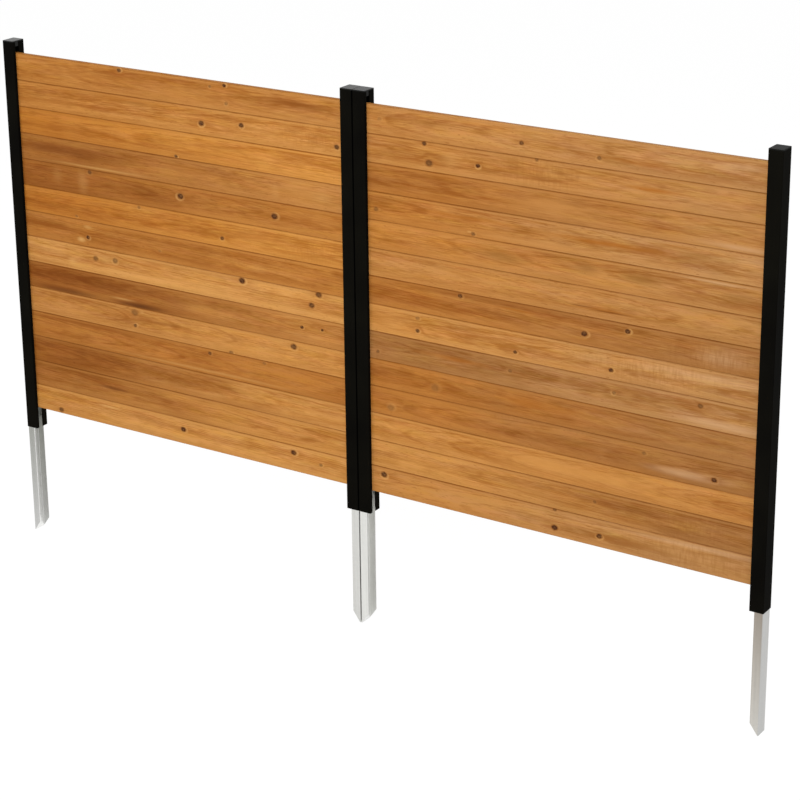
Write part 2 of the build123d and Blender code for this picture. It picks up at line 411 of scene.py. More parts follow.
FLAW_SIZE = (6.0, 6.0, 6.0)  # of the paler flaws in a knot
FLAW_LEVELS = (0.3, 0.55)
FLAW_LEAST = 0.75
SMEAR_STRETCH = (7.0, 1.5)  # reach of the stained grain beside a knot, in knot radii along and across
SMEAR_EDGE = (1.0, 0.1)
SMEAR_SHARE = 0.55
CRESCENT_STRETCH = (1.8, 1.3)
CRESCENT_ASIDE = (0.45, 0.35)  # from the middle of a knot to that of the pale wood, in knot radii
CRESCENT_EDGE = (1.25, 0.7)
CRESCENT_TURNS = (-2.4, 0.8)  # radians, the side of a knot on which the pale wood lies
CRESCENT_SHARES = (0.1, 0.6)
GRAIN_BUMP = 0.5
GRAIN_DEPTH = 0.15
WOOD_ROUGHNESS = (0.62, 0.48)  # where the stain is dark and where it is light
WOOD_SPECULAR = 0.06

# Shares of the layers in the wood's figure, where the figure starts, and the part of the sum that is used
FIGURE = {"streak": 0.42, "mottle": 0.20, "band": 0.20, "fibre": 0.38, "late": -0.10}
FIGURE_START = -0.08
FIGURE_RANGE = (0.38, 0.62)

# What the stain's tone is multiplied by: in dark and in light grain, in deep stain, and along the paler
# edges, where the upper edge's paleness is a painted highlight
TINTS = {
    "dark": (0.72, 0.61, 0.47),
    "light": (1.18, 1.28, 1.46),
    "deep": (0.56, 0.42, 0.27),
    "pale_edge_and_highlight": (1.06, 1.13, 1.29),
}


def board_place(tree, low):
    """Millimetres from the board's lower left front corner."""
    seen = add_node(tree, "TexCoord")["Object"]
    corner = [-value / MM for value in low]
    return add_node(tree, "Mapping", {"Vector": seen, "Location": corner, "Scale": (1 / MM,) * 3})[0]


def noise(tree, place, size, seed, detail):
    """Noise whose main blobs are about as large as size, in millimetres along, through and up the board."""
    start = [seed.uniform(0, NOISE_SPREAD) for axis in range(3)]
    scale = [1 / length for length in size]
    drawn = add_node(tree, "Mapping", {"Vector": place, "Location": start, "Scale": scale})[0]
    pattern = {"Vector": drawn, "Scale": 1.0, "Detail": detail, "Roughness": NOISE_ROUGHNESS}
    return add_node(tree, "TexNoise", pattern)


def swing(tree, place, length, reach, seed):
    """Moves a place about by up to half of reach each way, slowly along the board."""
    wander = noise(tree, place, (length, length, length / SWING_SQUEEZE), seed, detail=2.0)["Color"]
    centred = add_node(tree, "VectorMath", {0: wander, 1: (0.5,) * 3}, operation="SUBTRACT")[0]
    return add_node(tree, "VectorMath", {0: centred, 1: reach, 2: place}, operation="MULTIPLY_ADD")[0]


def oval(tree, place, along, up, half_length, half_height):
    """Distance from the middle of an oval on the board's face, 1 at its edge."""
    scale = (1 / half_length, 0.0, 1 / half_height)
    centre = (-along * scale[0], 0.0, -up * scale[2])
    local = add_node(tree, "Mapping", {"Vector": place, "Location": centre, "Scale": scale})[0]
    return add_node(tree, "VectorMath", {0: local}, operation="LENGTH")["Value"]


def widest(tree, value, limits, most=1.0, so_far=0.0):
    """The larger of a layer so far and a value that rises smoothly from 0 to most between two limits."""
    span = {"Value": value, "From Min": limits[0], "From Max": limits[1], "To Max": most}
    layer = add_node(tree, "MapRange", span, interpolation_type="SMOOTHSTEP")[0]
    return add_node(tree, "Math", {0: layer, 1: so_far}, operation="MAXIMUM")[0]


def weakened(tree, layer, value, levels, least):
    """A layer that falls to its least share where a value stays short of the first of two levels."""
    span = {"Value": value, "From Min": levels[0], "From Max": levels[1], "To Min": least}
    share = add_node(tree, "MapRange", span)[0]
    return add_node(tree, "Math", {0: layer, 1: share}, operation="MULTIPLY")[0]


def knot_fields(tree, place, knots, seed):
    """Distance to the nearest knot in its own radii, and how much of the colour goes to the knots, to the
    pale crescents beside them and to the stained grain that runs out from them."""
    uneven = swing(tree, place, KNOT_WAVE, KNOT_WAVE_REACH, seed)
    nearest = KNOT_FARTHEST
    knot = 0.0
    crescent = 0.0
    smear = 0.0
    for along, up, radius, strength in knots:
        away = oval(tree, uneven, along, up, radius * KNOT_STRETCH, radius)
        nearest = add_node(tree, "Math", {0: away, 1: nearest}, operation="MINIMUM")[0]
        knot = widest(tree, away, KNOT_EDGE, strength, knot)
        turn = seed.uniform(*CRESCENT_TURNS)
        aside = along + CRESCENT_ASIDE[0] * radius * math.cos(turn)
        above = up + CRESCENT_ASIDE[1] * radius * math.sin(turn)
        beside = oval(tree, uneven, aside, above, radius * CRESCENT_STRETCH[0], radius * CRESCENT_STRETCH[1])
        crescent = widest(tree, beside, CRESCENT_EDGE, seed.uniform(*CRESCENT_SHARES) * strength, crescent)
        around = oval(tree, uneven, along, up, radius * SMEAR_STRETCH[0], radius * SMEAR_STRETCH[1])
        smear = widest(tree, around, SMEAR_EDGE, SMEAR_SHARE * strength, smear)
    return nearest, knot, crescent, smear


def growth_rings(tree, swung, length, arch, nearest, seed):
    """Rings counted from the pith of a log, which lies behind the board at a slight angle. They swell round
    knots."""
    way, height = arch
    taper = seed.uniform(*TAPERS)
    depth = seed.uniform(*PITH_DEPTHS)
    if way == "left":
        depth += taper * length
        taper = -taper
    lean = (0.0, seed.uniform(*TILTS), taper)
    pith = (0.0, depth, -height)
    in_log = add_node(tree, "Mapping", {"Vector": swung, "Location": pith, "Rotation": lean})[0]
    across = add_node(tree, "VectorMath", {0: in_log, 1: (0, 1, 1)}, operation="MULTIPLY")[0]
    radius = add_node(tree, "VectorMath", {0: across}, operation="LENGTH")["Value"]
    count = add_node(tree, "Math", {0: radius, 1: seed.uniform(*RING_WIDTHS)}, operation="DIVIDE")[0]
    if nearest is not None:
        square = add_node(tree, "Math", {0: nearest, 1: nearest}, operation="MULTIPLY")[0]
        falling = add_node(tree, "Math", {0: square, 1: KNOT_SWELL_FALL}, operation="MULTIPLY")[0]
        swell = add_node(tree, "Math", {0: falling}, operation="EXPONENT")[0]
        count = add_node(tree, "Math", {0: swell, 1: KNOT_SWELL, 2: count}, operation="MULTIPLY_ADD")[0]
    return count


def late_wood(tree, count):
    """The dark line that ends each ring, stronger in some years than in others."""
    year = add_node(tree, "Math", {0: count}, operation="FLOOR")[0]
    turn = add_node(tree, "Math", {0: count, 1: math.tau}, operation="MULTIPLY")[0]
    wave = add_node(tree, "Math", {0: turn}, operation="COSINE")[0]
    strength = add_node(tree, "TexWhiteNoise", {"W": year}, noise_dimensions="1D")["Value"]
    return weakened(tree, strength, wave, LATE_WOOD, 0.0)


def wood_figure(tree, place, swung, count, seed):
    """How lightly the wood takes the stain, from 0 to 1: streaks, mottle, bands, late wood and fibres."""
    height = seed.uniform(*STREAK_HEIGHTS)
    start = seed.uniform(0, BAND_SPREAD)
    band_at = add_node(tree, "Math", {0: count, 1: 1 / RINGS_IN_BAND, 2: start}, operation="MULTIPLY_ADD")[0]
    band = {"W": band_at, "Scale": 1.0, "Detail": 2.0}
    layers = {
        "streak": noise(tree, swung, (seed.uniform(*STREAK_LENGTHS), height, height), seed, detail=1.0)[0],
        "mottle": noise(tree, swung, MOTTLE_SIZE, seed, detail=2.0)[0],
        "band": add_node(tree, "TexNoise", band, noise_dimensions="1D")[0],
        "fibre": noise(tree, place, FIBRE_SIZE, seed, detail=1.0)[0],
        "late": late_wood(tree, count),
    }
    total = FIGURE_START
    for layer, share in FIGURE.items():
        total = add_node(tree, "Math", {0: layers[layer], 1: share, 2: total}, operation="MULTIPLY_ADD")[0]
    span = {"Value": total, "From Min": FIGURE_RANGE[0], "From Max": FIGURE_RANGE[1]}
    return add_node(tree, "MapRange", span)[0]


def stain_tone(tree, along, length, stains, drift, look):
    """The stain's tone, which drifts from that of the left end to that of the right end, with the painted
    light that those tones hold.
    """
    start, stop = [share * length for share in TONE_SPAN]
    span = {"Value": along, "From Min": start, "From Max": stop, "To Min": -0.5, "To Max": 0.5}
    share = add_node(tree, "MapRange", span)[0]
    share = add_node(tree, "Math", {0: share, 1: drift}, operation="ADD", use_clamp=True)[0]
    left, right = [opaque(getattr(look, stain)) for stain in stains]
    return add_node(tree, "Mix", {0: share, 6: left, 7: right}, data_type="RGBA")[2]


def pale_edges(tree, up):
    """How pale a board is along its two edges, short of the joint above: paler towards the lower edge, and
    with a painted highlight along the upper edge.
    """
    lower = widest(tree, up, *LOWER_EDGE)
    upper = widest(tree, up, *UPPER_HIGHLIGHT)
    short = widest(tree, up, ARRIS)
    upper = add_node(tree, "Math", {0: upper, 1: short}, operation="MULTIPLY")[0]
    return add_node(tree, "Math", {0: lower, 1: upper}, operation="MAXIMUM")[0]


def grained(tree, place, swung, up, figure, shades, seed):
    """The colour of the grain, with the stain's change of hue, the paler edges with a painted highlight along
    the upper one, and the short dark flecks.
    """
    colour = add_node(tree, "Mix", {0: figure, 6: shades["dark"], 7: shades["light"]}, data_type="RGBA")[2]
    hue = noise(tree, swung, HUE_SIZE, seed, detail=3.0)["Color"]
    tint = add_node(tree, "VectorMath", {0: hue, 1: HUE_REACH, 2: HUE_START}, operation="MULTIPLY_ADD")[0]
    colour = add_node(tree, "Mix", {0: 1.0, 6: colour, 7: tint}, data_type="RGBA", blend_type="MULTIPLY")[2]
    # paler towards the lower edge, and a painted highlight along the upper edge
    edge = pale_edges(tree, up)
    colour = add_node(tree, "Mix", {0: edge, 6: colour, 7: shades["pale_edge_and_highlight"]}, data_type="RGBA")[2]
    fleck = noise(tree, place, FLECK_SIZE, seed, detail=0.0)[0]
    fleck = widest(tree, fleck, FLECK_LEVELS, FLECK_SHARE)
    return add_node(tree, "Mix", {0: fleck, 6: colour, 7: shades["deep"]}, data_type="RGBA")[2]


def patched(tree, colour, swung, patches, shades, look, seed):
    """Lays the soft patches over a colour; the glare patches are a painted sheen. The grain breaks up all but
    the pale ones and the scars.
    """
    gaps = noise(tree, swung, BREAK_SIZE, seed, detail=2.0)[0]
    stains = {
        "dark": shades["deep"],
        "light": shades["light"],
        "rust": opaque(look.rust),
        "olive": opaque(look.olive),
        # painted sheen
        "glare": opaque(look.glare),
        "pale": opaque(look.crescent),
        "scar": opaque(look.knot_ring),
    }
    for kind, along, up, half_length, half_height, strength in patches:
        if kind == "sawn":
            continue
        away = oval(tree, swung, along, up, half_length, half_height)
        here = widest(tree, away, PATCH_EDGE, strength)
        if kind not in ("pale", "scar"):
            here = weakened(tree, here, gaps, BREAK_LEVELS, BREAK_LEAST)
        colour = add_node(tree, "Mix", {0: here, 6: colour, 7: stains[kind]}, data_type="RGBA")[2]
    return colour


def saw_marks(tree, place, swung, drift, patches, seed):
    """Faint marks that the saw left across the board, plainest in the sawn patches."""
    sawn = widest(tree, drift, SAWN_LEVELS, SAWN_SHARE)
    for kind, along, up, half_length, half_height, strength in patches:
        if kind == "sawn":
            away = oval(tree, swung, along, up, half_length, half_height)
            sawn = widest(tree, away, PATCH_EDGE, strength, sawn)
    marks = noise(tree, place, SAW_SIZE, seed, detail=1.0)[0]
    return weakened(tree, sawn, marks, SAW_LEVELS, 0.0)


def knotted(tree, colour, place, fields, dark, look, seed):
    """Lays the stained grain, the pale crescents and the knots over a colour."""
    nearest, knot, crescent, smear = fields
    flaws = noise(tree, place, FLAW_SIZE, seed, detail=2.0)[0]
    knot = weakened(tree, knot, flaws, FLAW_LEVELS, FLAW_LEAST)
    rings = [opaque(ring) for ring in (look.knot_heart, look.knot_ring, look.knot_rim)]
    knot_colour = add_node(tree, "ValToRGB", {0: nearest}, stops=list(zip(KNOT_STOPS, rings)))[0]
    for share, shade in ((smear, dark), (crescent, opaque(look.crescent)), (knot, knot_colour)):
        colour = add_node(tree, "Mix", {0: share, 6: colour, 7: shade}, data_type="RGBA")[2]
    return colour


def seamed(tree, colour, up, drift, joined, look):
    """Darkens a colour at the joint below, and at the one above if joined: stain that gathered there, and
    painted shade of the groove.
    """
    seam = widest(tree, up, *LOWER_SEAM)
    if joined:
        seam = widest(tree, up, *UPPER_SEAM, seam)
    seam = weakened(tree, seam, drift, SEAM_LEVELS, SEAM_LEAST)
    # gathered stain and painted shade of the groove
    return add_node(tree, "Mix", {0: seam, 6: colour, 7: opaque(look.seam)}, data_type="RGBA")[2]


def surfaced(tree, surface):
    """Ends a material with one surface shader."""
    shader = add_node(tree, "BsdfPrincipled", surface)[0]
    add_node(tree, "OutputMaterial", {"Surface": shader})


def softwood(name, low, high, stains, arch, knots, patches, joined, look):
    """Planed softwood under a translucent stain: fine arches of early and late wood that the stain darkens
    unevenly, small brown knots that the grain flows round, faint saw marks and a satin surface."""
    finish = new_material(name)
    tree = finish.node_tree
    seed = random.Random(name)
    length = (high.x - low.x) / MM
    place = board_place(tree, low)
    parts = add_node(tree, "SeparateXYZ", {0: place})
    slow = swing(tree, place, WANDER_LENGTH, WANDER_REACH, seed)
    swung = swing(tree, slow, WOBBLE_LENGTH, WOBBLE_REACH, seed)
    nearest = None
    if knots:
        fields = knot_fields(tree, place, knots, seed)
        nearest = fields[0]
    if arch is None:
        arch = (seed.choice(("left", "right")), seed.uniform(*PITH_HEIGHTS))
    count = growth_rings(tree, swung, length, arch, nearest, seed)
    figure = wood_figure(tree, place, swung, count, seed)

    drift = noise(tree, place, DRIFT_SIZE, seed, detail=2.0)[0]
    tone = stain_tone(tree, parts["X"], length, stains, drift, look)
    shades = {}
    for shade, tint in TINTS.items():
        pair = {0: 1.0, 6: tone, 7: opaque(tint)}
        shades[shade] = add_node(tree, "Mix", pair, data_type="RGBA", blend_type="MULTIPLY")[2]

    colour = grained(tree, place, swung, parts["Z"], figure, shades, seed)
    colour = patched(tree, colour, swung, patches, shades, look, seed)
    marks = saw_marks(tree, place, swung, drift, patches, seed)
    notch = add_node(tree, "Math", {0: marks, 1: SAW_SHADE}, operation="MULTIPLY")[0]
    colour = add_node(tree, "Mix", {0: notch, 6: colour, 7: shades["dark"]}, data_type="RGBA")[2]
    if knots:
        colour = knotted(tree, colour, place, fields, shades["dark"], look, seed)
    colour = seamed(tree, colour, parts["Z"], drift, joined, look)

    relief = add_node(tree, "Math", {0: marks, 1: SAW_RELIEF, 2: figure}, operation="MULTIPLY_ADD")[0]
    bump = add_node(tree, "Bump", {"Height": relief, "Strength": GRAIN_BUMP, "Distance": GRAIN_DEPTH * MM})[0]
    dark, light = WOOD_ROUGHNESS
    rough = add_node(tree, "MapRange", {"Value": figure, "To Min": dark, "To Max": light})[0]
    satin = {"Base Color": colour, "Roughness": rough, "Normal": bump, "Specular IOR Level": WOOD_SPECULAR}
    surfaced(tree, satin)
    return finish


# Metals and plastic, with sizes in millimetres

PEEL = 1.1  # between the bumps of the powder coat
PEEL_BUMP = 0.25
PEEL_DEPTH = 0.05
CLOUDS = 6.0  # in a metre of the powder coat
CLOUD_LEVELS = (0.35, 0.65)  # of the darkest and the lightest cloud
POWDER_ROUGHNESS = (0.46, 0.60)
POWDER_SPECULAR = 0.004
POST_JOINT = (3.4, 1.2)  # from the middle posts' joint, where its painted shade starts and where it is full
CAP_GRAIN = 0.8  # between the grains of the caps' plastic
CAP_BUMP = 0.15
CAP_DEPTH = 0.05
CAP_LEVELS = (0.3, 0.7)
CAP_ROUGHNESS = (0.14, 0.26)
SPANGLE = 9.0  # across a crystal of the zinc
SPANGLE_SHARE = 0.12
ROLL_LENGTH = 260.0  # along which the zinc's streaks run
ROLL_WIDTH = 5.0
ROLL_LEVELS = (0.3, 0.8)
DULLEST = 0.88  # how bright the dullest streak is beside the brightest
STAKE_ROUGHNESS = (0.34, 0.50)
SCREW_ROUGHNESS = (0.26, 0.38)
STAKE_DEPTH = 330.0  # below the ground line, where a stake has the tone of its point
FACING = (0.5, 0.9)  # parts of a normal between which a face turns to look one way

# Specular level of each cap
CAP_GLOSS = {"left_end": 0.11, "left_middle": 0.07, "right_middle": 0.06, "right_end": 0.008}


def powder_coat(look):
    """Steel under black polyester powder coat: a deep, nearly matt black, with the faint orange peel of the
    baked powder, and a painted shade where the middle posts meet."""
    finish = new_material("powder_coated_steel")
    tree = finish.node_tree
    place = add_node(tree, "TexCoord")["Object"]
    peel = add_node(tree, "TexNoise", {"Vector": place, "Scale": 1 / (PEEL * MM), "Detail": 2.0})[0]
    cloud = add_node(tree, "TexNoise", {"Vector": place, "Scale": CLOUDS, "Detail": 2.0})[0]
    low, high = POWDER_ROUGHNESS
    rough = add_node(tree, "MapRange", {"Value": cloud, "To Min": low, "To Max": high})[0]
    shades = list(zip(CLOUD_LEVELS, (opaque(look.powder_dark), opaque(look.powder))))
    colour = add_node(tree, "ValToRGB", {0: cloud}, stops=shades)[0]
    along = add_node(tree, "SeparateXYZ", {0: place})["X"]
    aside = add_node(tree, "Math", {0: along}, operation="ABSOLUTE")[0]
    # painted shade where the middle posts meet
    joint = widest(tree, aside, [length * MM for length in POST_JOINT])
    colour = add_node(tree, "Mix", {0: joint, 6: colour, 7: opaque(look.powder_joint_shade)}, data_type="RGBA")[2]
    bump = add_node(tree, "Bump", {"Height": peel, "Strength": PEEL_BUMP, "Distance": PEEL_DEPTH * MM})[0]
    matt = {"Base Color": colour, "Roughness": rough, "Normal": bump, "Specular IOR Level": POWDER_SPECULAR}
    surfaced(tree, matt)
    return finish


def cap_plastic(name, look, gloss):
    """Moulded black polypropylene: a fine spark-eroded grain that takes the light softly."""
    finish = new_material(name)
    tree = finish.node_tree
    place = add_node(tree, "TexCoord")["Object"]
    grain = add_node(tree, "TexNoise", {"Vector": place, "Scale": 1 / (CAP_GRAIN * MM), "Detail": 3.0})[0]
    shades = list(zip(CAP_LEVELS, (opaque(look.plastic_dark), opaque(look.plastic))))
    colour = add_node(tree, "ValToRGB", {0: grain}, stops=shades)[0]
    low, high = CAP_ROUGHNESS
    rough = add_node(tree, "MapRange", {"Value": grain, "To Min": low, "To Max": high})[0]
    bump = add_node(tree, "Bump", {"Height": grain, "Strength": CAP_BUMP, "Distance": CAP_DEPTH * MM})[0]
    surfaced(tree, {"Base Color": colour, "Roughness": rough, "Normal": bump, "Specular IOR Level": gloss})
    return finish


def zinc(name, upper, lower, inner, depth, roughness):
    """Zinc on steel: pale grey, with soft streaks from rolling and the faint crystals of the hot dip. The
    tone changes from the ground line down to the point, which on the stakes is painted shade below the post.
    The faces that look to the right, and those that look back from nearer than a given depth, have the inner
    tone, which on the stakes paints how the light falls on those faces."""
    finish = new_material(name)
    tree = finish.node_tree
    seen = add_node(tree, "TexCoord")
    parts = add_node(tree, "SeparateXYZ", {0: seen["Object"]})
    span = {"Value": parts["Z"], "From Min": 0.0, "From Max": -STAKE_DEPTH * MM}
    down = add_node(tree, "MapRange", span)[0]
    # painted shade: darker at the top, below the post, than at the point
    outer = add_node(tree, "Mix", {0: down, 6: opaque(upper), 7: opaque(lower)}, data_type="RGBA")[2]
    facing = add_node(tree, "SeparateXYZ", {0: seen["Normal"]})
    # painted light: the faces inside the channel and to the right take the inner tone
    rear = widest(tree, facing["Y"], FACING)
    near = add_node(tree, "Math", {0: parts["Y"], 1: depth}, operation="LESS_THAN")[0]
    inside = add_node(tree, "Math", {0: rear, 1: near}, operation="MULTIPLY")[0]
    inside = widest(tree, facing["X"], FACING, 1.0, inside)
    tone = add_node(tree, "Mix", {0: inside, 6: outer, 7: opaque(inner)}, data_type="RGBA")[2]
    crystal = add_node(tree, "TexVoronoi", {"Vector": seen["Object"], "Scale": 1 / (SPANGLE * MM)})["Color"]
    crystal = add_node(tree, "SeparateColor", {0: crystal})[0]
    streaked = (1 / (ROLL_WIDTH * MM), 1 / (ROLL_WIDTH * MM), 1 / (ROLL_LENGTH * MM))
    drawn = add_node(tree, "Mapping", {"Vector": seen["Object"], "Scale": streaked})[0]
    streak = add_node(tree, "TexNoise", {"Vector": drawn, "Scale": 1.0, "Detail": 3.0})[0]
    both = add_node(tree, "Math", {0: crystal, 1: SPANGLE_SHARE, 2: streak}, operation="MULTIPLY_ADD")[0]
    span = {"Value": both, "From Min": ROLL_LEVELS[0], "From Max": ROLL_LEVELS[1], "To Min": DULLEST}
    shade = add_node(tree, "MapRange", span)[0]
    colour = add_node(tree, "Mix", {0: 1.0, 6: tone, 7: shade}, data_type="RGBA", blend_type="MULTIPLY")[2]
    low, high = roughness
    rough = add_node(tree, "MapRange", {"Value": both, "To Min": low, "To Max": high})[0]
    surfaced(tree, {"Base Color": colour, "Roughness": rough, "Metallic": 1.0})
    return finish


# What a user can change

def colour_property(name, description, code):
    """A colour that is given as an sRGB hex value."""
    return bpy.props.FloatVectorProperty(
        name=name, description=description, subtype="COLOR", min=0.0, max=1.0, default=linear(code)
    )


class BoardLook(bpy.types.PropertyGroup):
    """Colours of the stained boards."""

    pale: colour_property("Pale stain", "Stain on the palest boards", "#C68945")
    gold: colour_property("Gold stain", "Stain on the yellower boards", "#C28440")
    honey: colour_property("Honey stain", "Stain on most of the boards", "#B6793A")
    amber: colour_property("Amber stain", "Stain on the more orange boards", "#B57533")
    brown: colour_property("Brown stain", "Stain on the darker boards", "#9D6128")
    russet: colour_property("Russet stain", "Stain on the redder brown boards", "#AC6C2D")
    umber: colour_property("Umber stain", "Stain on the darkest boards", "#92551E")
    copper: colour_property("Copper stain", "Stain on the reddest boards", "#B06C27")
    saffron: colour_property("Saffron stain", "Stain at the yellower ends of the reddest boards", "#C8863C")
    tan: colour_property("Tan stain", "Browner stain at the right ends", "#AC763E")
    # sand and fawn are stain dulled by a painted sheen
    sand: colour_property("Sand stain", "Duller stain at the right ends", "#B17D47")
    fawn: colour_property("Fawn stain", "Duller brown stain in the right panel", "#9F6A36")
    rust: colour_property("Rust stain", "Orange streaks", "#A66220")
    olive: colour_property("Olive stain", "Greenish brown blotches", "#94652F")
    # the dark of the joints is gathered stain and painted shade of the groove
    seam: colour_property("Seam", "Stain that gathers in the joints", "#6E3A0A")
    knot_heart: colour_property("Knot heart", "Middle of a knot", "#5C381F")
    knot_ring: colour_property("Knot ring", "Outer part of a knot", "#43230F")
    knot_rim: colour_property("Knot rim", "Stained wood at the edge of a knot", "#8A5122")
    crescent: colour_property("Knot crescent", "Pale wood beside a knot", "#DBA863")
    # a painted sheen of the light on a dished board
    glare: colour_property("Glare", "Pale shine on a dished board", "#D3A87C")


class MetalLook(bpy.types.PropertyGroup):
    """Colours of the posts, caps, stakes and fasteners."""

    powder: colour_property("Powder coat", "Black of the posts", "#11100C")
    powder_dark: colour_property("Powder coat, dark", "Darker clouds in the posts' black", "#0C0B09")
    # painted shade where the middle posts meet
    powder_joint_shade: colour_property("Powder coat, joint", "Shade where the middle posts meet", "#010101")
    plastic: colour_property("Cap", "Black of the caps", "#1E1E1C")
    plastic_dark: colour_property("Cap, dark", "Darker grain of the caps", "#151514")
    # The stakes' tones are painted light: shade below the posts, light inside the channels, one middle stake
    # shaded, and on the right stake's front a warm painted reflection of the boards
    left_stake_shaded_top: colour_property("Left stake, top", "Zinc below the left post", "#A7A8A2")
    left_stake_point: colour_property("Left stake, point", "Zinc at the left stake's point", "#CACAC8")
    left_stake_lit_inside: colour_property("Left stake, inside", "Zinc inside the left stake", "#F6F6F4")
    middle_stake_shaded: colour_property("Dull middle stake", "Zinc on one middle stake's front", "#DADAD6")
    middle_stake: colour_property("Middle stake", "Zinc on the other middle stake's front", "#E6E6E2")
    middle_stake_lit_inside: colour_property("Middle stakes, inside", "Zinc inside the middle stakes", "#EEEEEC")
    right_stake_shaded_top: colour_property("Right stake, top", "Zinc below the right post", "#A1988D")
    right_stake_point: colour_property("Right stake, point", "Zinc at the right stake's point", "#D0CDC6")
    right_stake_side: colour_property("Right stake, side", "Zinc on the side of the right stake", "#C3C3C1")
    screw: colour_property("Screws", "Zinc plating of the fasteners", "#B8B8B4")


class StageLook(bpy.types.PropertyGroup):
    """Camera and lamps."""

    camera_place: bpy.props.FloatVectorProperty(
        name="Camera", description="Place of the camera", subtype="TRANSLATION", unit="LENGTH",
        default=(3.382, -4.916, 2.600)
    )
    camera_turn: bpy.props.FloatProperty(
        name="Turn", description="Angle of the view from straight ahead", subtype="ANGLE",
        default=math.radians(33.35)
    )
    camera_tilt: bpy.props.FloatProperty(
        name="Tilt", description="Angle of the view below level", subtype="ANGLE",
        default=math.radians(18.42)
    )
    camera_roll: bpy.props.FloatProperty(
        name="Roll", description="Turn of the picture about its middle", subtype="ANGLE",
        default=math.radians(0.59)
    )
    focal_pixels: bpy.props.FloatProperty(
        name="Focal length", description="Focal length in pixels of the picture", default=2300.0, min=500.0
    )
    shift: bpy.props.FloatProperty(
        name="Shift", description="How far the picture lies below the lens axis, as a share of its width",
        default=0.12, min=0.0, max=0.2
    )
    key_power: bpy.props.FloatProperty(
        name="Key lamp", description="Power of the large lamp in front", subtype="POWER", default=94.0
    )
    fill_power: bpy.props.FloatProperty(
        name="Fill lamp", description="Power of the lamp at the left", subtype="POWER", default=25.0
    )
    back_power: bpy.props.FloatProperty(
        name="Back lamp", description="Power of the lamp behind the screen", subtype="POWER", default=45.0
    )
    daylight: bpy.props.FloatProperty(
        name="Room light", description="Strength of the white room", default=0.55, min=0.0
    )


# Operators

class PRIVACY_OT_boards(bpy.types.Operator):
    """Stains the boards of both panels, each with its own grain, tone and knots"""

    bl_idname = "privacy.boards"
    bl_label = "Stain boards"

    def execute(self, context):
        look = context.scene.privacy_boards
        for side, stains in STAINS.items():
            for number, ends in enumerate(stains, start=1):
                node = f"{side}_panel_board_{number:02d}"
                low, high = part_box(node)
                arch = ARCHES.get((side, number))
                knots = KNOTS.get((side, number), ())
                patches = PATCHES.get((side, number), ())
                name = f"stained_softwood_{side}_{number:02d}"
                joined = number < len(stains)
                give(node, softwood(name, low, high, ends, arch, knots, patches, joined, look))
        return {"FINISHED"}


class PRIVACY_OT_posts(bpy.types.Operator):
    """Coats the posts in black powder"""

    bl_idname = "privacy.posts"
    bl_label = "Coat posts"

    def execute(self, context):
        finish = powder_coat(context.scene.privacy_metals)
        for station in STATIONS:
            give(f"{station}_post", finish)
        return {"FINISHED"}


class PRIVACY_OT_caps(bpy.types.Operator):
    """Gives the caps their moulded plastic"""

    bl_idname = "privacy.caps"
    bl_label = "Mould caps"

    def execute(self, context):
        for station, gloss in CAP_GLOSS.items():
            finish = cap_plastic(f"moulded_polypropylene_{station}", context.scene.privacy_metals, gloss)
            give(f"{station}_cap", finish)
        return {"FINISHED"}


class PRIVACY_OT_stakes(bpy.types.Operator):
    """Galvanises the stakes"""

    bl_idname = "privacy.stakes"
    bl_label = "Galvanise stakes"

    def execute(self, context):
        look = context.scene.privacy_metals
        # painted light and shade: each stake's own tones for its top, its point and its inner faces
        tones = {
            "left_end": (look.left_stake_shaded_top, look.left_stake_point, look.left_stake_lit_inside),
            "left_middle": (look.middle_stake_shaded, look.middle_stake_shaded, look.middle_stake_lit_inside),
            "right_middle": (look.middle_stake, look.middle_stake, look.middle_stake_lit_inside),
            "right_end": (look.right_stake_shaded_top, look.right_stake_point, look.right_stake_side),
        }
        for station, (upper, lower, inner) in tones.items():
            low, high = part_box(f"{station}_stake")
            middle = (low.y + high.y) / 2
            finish = zinc(f"galvanised_steel_{station}", upper, lower, inner, middle, STAKE_ROUGHNESS)
            give(f"{station}_stake", finish)
        return {"FINISHED"}


class PRIVACY_OT_fasteners(bpy.types.Operator):
    """Plates the screws, bolts and nuts with zinc"""

    bl_idname = "privacy.fasteners"
    bl_label = "Plate fasteners"

    def execute(self, context):
        look = context.scene.privacy_metals
        finish = zinc("zinc_plated_steel", look.screw, look.screw, look.screw, 0.0, SCREW_ROUGHNESS)
        for group in ("board_stop_screws", "stake_screws", "joining_bolts", "joining_nuts"):
            give(group, finish)
        return {"FINISHED"}


FLOOR_SIZE = 40.0  # metres
FLOOR_GAP = 1.0  # millimetres below the points of the stakes
FLOOR_SHADE = 0.15  # share of the floor's look that takes shadows
FLOOR_GLOW = 1.08  # strength of the rest, which looks white
CLIP_END = 100.0  # metres

# Place and width of each lamp, in metres
LAMPS = {
    "key": ((1.3, -3.6, 2.9), 2.4),
    "fill": ((-3.0, -3.2, 1.6), 2.0),
    "back": ((2.6, 3.6, 2.6), 2.4),
}


def seen_plainly(tree):
    """1 for rays from the camera, from a mirror or through glass, and 0 for rays that only gather light."""
    path = add_node(tree, "LightPath")
    pair = {0: path["Is Camera Ray"], 1: path["Is Glossy Ray"]}
    seen = add_node(tree, "Math", pair, operation="MAXIMUM")[0]
    return add_node(tree, "Math", {0: seen, 1: path["Is Transmission Ray"]}, operation="MAXIMUM")[0]


